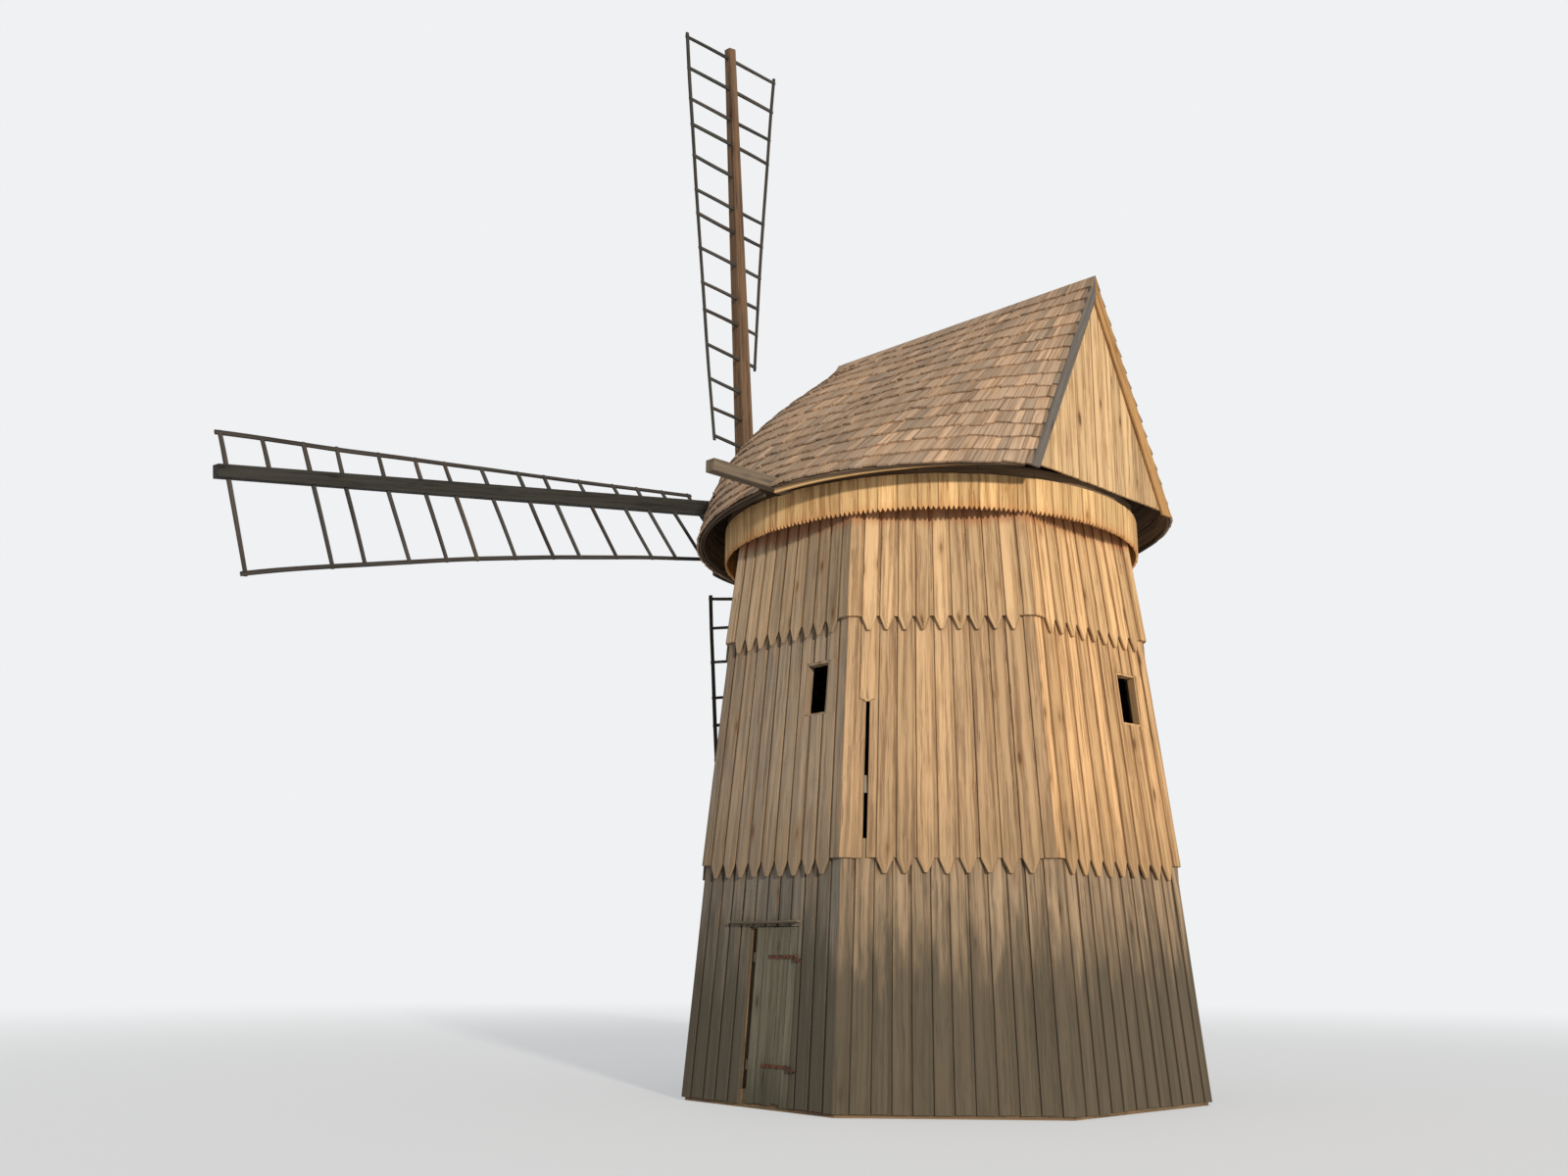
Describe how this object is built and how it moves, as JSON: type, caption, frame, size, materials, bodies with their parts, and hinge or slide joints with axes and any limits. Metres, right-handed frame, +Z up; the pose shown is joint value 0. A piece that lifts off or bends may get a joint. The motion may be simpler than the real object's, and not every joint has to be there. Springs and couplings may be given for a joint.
{
  "type": "traditional smock windmill",
  "caption": "Eight-sided wooden smock mill with a turning shingled cap, lattice sails and a plank door.",
  "frame": {"origin": "on the ground under the tower's axis, on the underside of the middle sleeper", "axes": "+Z up; the sails face -Y and the gable +Y; the door's wall looks out close to +X"},
  "size_m": [15.046, 6.9774, 14.4194],
  "materials": {
    "lower_boards": "weathered upright boards, greyed near the ground",
    "tower_boards": "weathered upright pine boards",
    "skirt_boards": "upright boards with a sawtooth lower edge",
    "shingles": "split wooden shingles, brown-grey",
    "frame_timber": "hewn beams",
    "sail_timber": "dark weathered timber",
    "door_boards": "upright planks",
    "iron": "forged, rusted"
  },
  "bodies": {
    "tower": {"sill_beams": "frame_timber", "corner_posts": "frame_timber", "lower_girts": "frame_timber", "upper_girts": "frame_timber", "top_plates": "frame_timber", "curb": "frame_timber", "ground_sleepers": "frame_timber", "ground_floor": "door_boards", "upper_floor": "door_boards", "lower_walls": "lower_boards", "door_side_walls": "lower_boards", "wall_over_door": "lower_boards", "middle_walls": "tower_boards", "window_walls": "tower_boards", "upper_walls": "tower_boards", "door_frame": "frame_timber", "drip_board": "frame_timber", "door_pintles": "iron"},
    "cap": {"cap_ring": "frame_timber", "skirt": "skirt_boards", "eave_boards": "skirt_boards", "spreader_beam": "frame_timber", "sheers": "frame_timber", "breast_beam": "frame_timber", "neck_bearing": "frame_timber", "tail_beam": "frame_timber", "tail_bearing": "frame_timber", "roof_left": "shingles", "roof_right": "shingles", "gable_wall": "tower_boards", "gable_sill": "frame_timber", "bargeboards": "skirt_boards"},
    "sails": {"windshaft": "frame_timber", "upright_stock": "sail_timber", "level_stock": "sail_timber", "upper_sail": "sail_timber", "lower_sail": "sail_timber", "near_sail": "sail_timber", "far_sail": "sail_timber"},
    "door": {"door_leaf": "door_boards", "door_ledges": "door_boards", "door_straps": "iron"}
  },
  "joints": [
    {"name": "cap_turn", "type": "hinge", "parent": "tower", "child": "cap", "pos_m": [0, 0, 6.5905], "axis": [0, 0, 1], "continuous": true},
    {"name": "sail_turn", "type": "hinge", "parent": "cap", "child": "sails", "pos_m": [0, -3.42, 7.68699], "axis": [0, -0.9954, 0.0958], "continuous": true},
    {"name": "door_swing", "type": "hinge", "parent": "tower", "child": "door", "pos_m": [2.77661, 0.4089, 0.93127], "axis": [-0.0874, 0.0035, 0.9962], "range_deg": [0, 100]}
  ]
}
